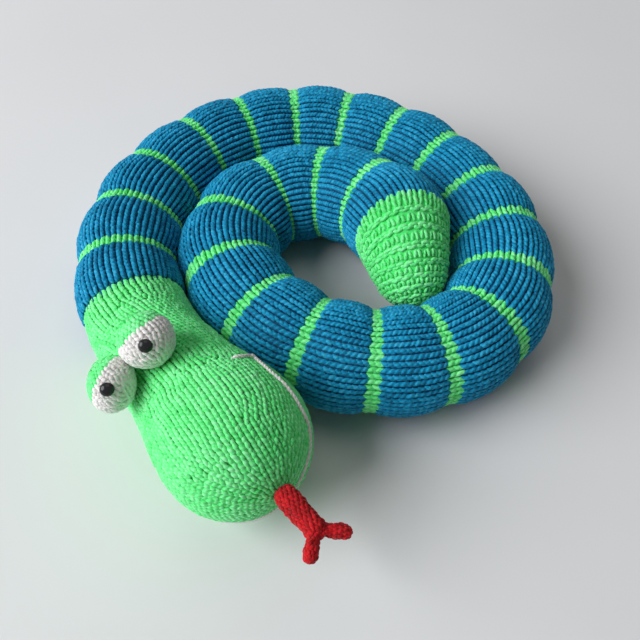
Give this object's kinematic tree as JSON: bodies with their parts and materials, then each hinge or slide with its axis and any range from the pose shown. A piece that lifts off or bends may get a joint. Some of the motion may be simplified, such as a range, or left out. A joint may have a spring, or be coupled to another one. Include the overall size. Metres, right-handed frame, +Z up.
{
  "type": "knitted toy snake",
  "caption": "Stuffed knitted toy snake, blue with green stripes, lying coiled, with green head and tail, ball eyes and a red forked tongue.",
  "frame": {"origin": "middle of the toy seen from above, at the table that it lies on", "axes": "+Z up, -Y towards the head's snout and the viewer of the picture, +X to the right of the picture"},
  "size_m": [0.242, 0.2828, 0.0759],
  "materials": {
    "blue_knit": "knitted yarn",
    "green_knit": "knitted yarn",
    "white_knit": "knitted yarn",
    "white_yarn": "yarn",
    "red_knit": "knitted yarn",
    "black_eye": "glossy",
    "white_washer": "matt",
    "fibrefill": "loose fibre"
  },
  "bodies": {
    "coil": {"band_10": "blue_knit", "band_11": "blue_knit", "band_12": "blue_knit", "band_13": "blue_knit", "band_14": "blue_knit", "band_15": "blue_knit", "band_16": "blue_knit", "band_17": "blue_knit", "band_18": "blue_knit", "band_19": "blue_knit", "band_20": "blue_knit", "coil_stripes": "green_knit", "coil_filling": "fibrefill", "band_09": "blue_knit", "band_filling_09": "fibrefill", "band_21": "blue_knit", "band_filling_21": "fibrefill"},
    "bend": {"band_08": "blue_knit", "bend_stripes": "green_knit", "bend_filling": "fibrefill", "band_07": "blue_knit", "band_filling_07": "fibrefill"},
    "front": {"band_06": "blue_knit", "front_stripes": "green_knit", "front_filling": "fibrefill", "band_05": "blue_knit", "band_filling_05": "fibrefill"},
    "fore": {"band_04": "blue_knit", "fore_stripes": "green_knit", "fore_filling": "fibrefill", "band_03": "blue_knit", "band_filling_03": "fibrefill"},
    "neck": {"band_02": "blue_knit", "neck_stripes": "green_knit", "neck_filling": "fibrefill", "band_01": "blue_knit", "band_filling_01": "fibrefill"},
    "head": {"head_cover": "green_knit", "head_filling": "fibrefill", "mouth_yarn": "white_yarn", "eye_white_left": "white_knit", "eye_back_left": "green_knit", "eye_filling_left": "fibrefill", "safety_eye_left": "black_eye", "safety_washer_left": "white_washer", "eye_white_right": "white_knit", "eye_back_right": "green_knit", "eye_filling_right": "fibrefill", "safety_eye_right": "black_eye", "safety_washer_right": "white_washer"},
    "tongue": {"tongue": "red_knit"},
    "rear": {"band_22": "blue_knit", "rear_stripes": "green_knit", "rear_filling": "fibrefill", "band_23": "blue_knit", "band_filling_23": "fibrefill"},
    "tail": {"tail_cover": "green_knit", "tail_filling": "fibrefill"}
  },
  "joints": [
    {"name": "head_lift", "type": "hinge", "parent": "neck", "child": "head", "pos_m": [-0.09069, -0.00689, 0.0245], "axis": [-0.9429, -0.333, 0], "range_deg": [0, 28], "deforming": ["band_01", "band_filling_01"]},
    {"name": "neck_bend", "type": "hinge", "parent": "fore", "child": "neck", "pos_m": [-0.09156, 0.05249, 0.0245], "axis": [0, 0, -1], "range_deg": [0, 38], "deforming": ["band_03", "band_filling_03"]},
    {"name": "fore_bend", "type": "hinge", "parent": "front", "child": "fore", "pos_m": [-0.05731, 0.09952, 0.0245], "axis": [0, 0, -1], "range_deg": [0, 38], "deforming": ["band_05", "band_filling_05"]},
    {"name": "front_bend", "type": "hinge", "parent": "bend", "child": "front", "pos_m": [-0.00165, 0.11638, 0.0245], "axis": [0, 0, -1], "range_deg": [0, 38], "deforming": ["band_07", "band_filling_07"]},
    {"name": "body_bend", "type": "hinge", "parent": "coil", "child": "bend", "pos_m": [0.05348, 0.09727, 0.0245], "axis": [0, 0, -1], "range_deg": [0, 38], "deforming": ["band_09", "band_filling_09"]},
    {"name": "tail_lift", "type": "hinge", "parent": "coil", "child": "rear", "pos_m": [-0.01172, 0.06469, 0.02578], "axis": [0.169, -0.9665, 0.1934], "range_deg": [0, 30], "deforming": ["band_21", "band_filling_21"]},
    {"name": "tail_bend", "type": "hinge", "parent": "rear", "child": "tail", "pos_m": [0.03846, 0.04013, 0.03647], "axis": [0.1228, -0.1741, -0.977], "range_deg": [0, 25], "deforming": ["band_23", "band_filling_23"]},
    {"name": "tongue_wag", "type": "hinge", "parent": "head", "child": "tongue", "pos_m": [-0.00495, -0.11457, 0.04661], "axis": [0.0708, 0.2892, 0.9547], "range_deg": [-25, 25]}
  ]
}
